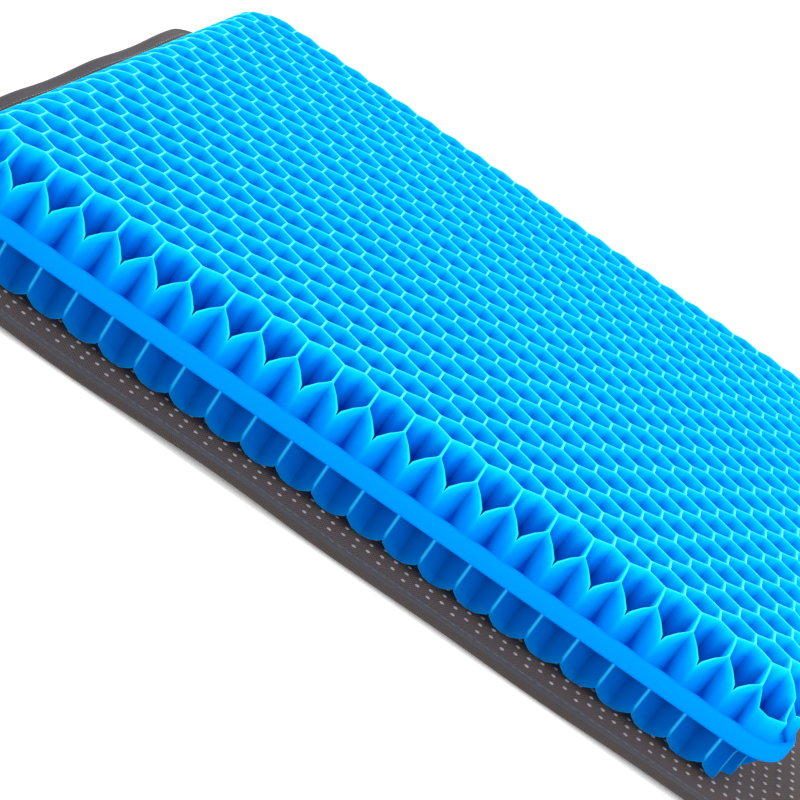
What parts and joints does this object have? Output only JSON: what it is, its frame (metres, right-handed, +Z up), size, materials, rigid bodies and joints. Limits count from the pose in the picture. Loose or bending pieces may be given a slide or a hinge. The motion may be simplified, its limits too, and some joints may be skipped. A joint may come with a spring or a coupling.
{
  "type": "seat cushion",
  "caption": "Honeycomb gel seat cushion with a smooth rim band, lying on its own flat, zipped cover of dotted non-slip fabric.",
  "frame": {"origin": "middle of the underside of the cover, on the surface that it lies on", "axes": "+Z up, +X along the zip, +Y towards the zipped rear edge of the cover"},
  "size_m": [0.423, 0.443, 0.049],
  "materials": {
    "gel_upper": "soft translucent gel, satin",
    "gel_band": "soft translucent gel, satin",
    "gel_lower": "soft translucent gel, satin",
    "face_fabric": "knitted mesh fabric",
    "grip_fabric": "woven fabric with rows of small raised non-slip dots",
    "binding_fabric": "folded woven tape",
    "zip_tape": "woven polyester tape",
    "zip_coil": "moulded coil",
    "zip_metal": "black enamel"
  },
  "bodies": {
    "cover": {"cover_face_panel": "face_fabric", "cover_grip_panel": "grip_fabric", "cover_edge_binding": "binding_fabric", "zip_tape_front": "zip_tape", "zip_tape_rear": "zip_tape", "zip_coil_front": "zip_coil", "zip_coil_rear": "zip_coil", "zip_stop_left": "zip_metal", "zip_stop_right": "zip_metal"},
    "cushion": {"upper_cell_layer": "gel_upper", "middle_web": "gel_band", "lower_cell_layer": "gel_lower"},
    "slider": {"zip_slider": "zip_metal"},
    "pull": {"zip_pull": "zip_metal"}
  },
  "joints": [
    {"name": "cushion_lift", "type": "slide", "parent": "cover", "child": "cushion", "axis": [0, 0, 1], "range_m": [0, 0.25]},
    {"name": "zip_slide", "type": "slide", "parent": "cover", "child": "slider", "axis": [-1, 0, 0], "range_m": [0, 0.32]},
    {"name": "pull_hinge", "type": "hinge", "parent": "slider", "child": "pull", "pos_m": [0.16, 0.201, 0.00565], "axis": [0, 1, 0], "range_deg": [0, 175]}
  ]
}
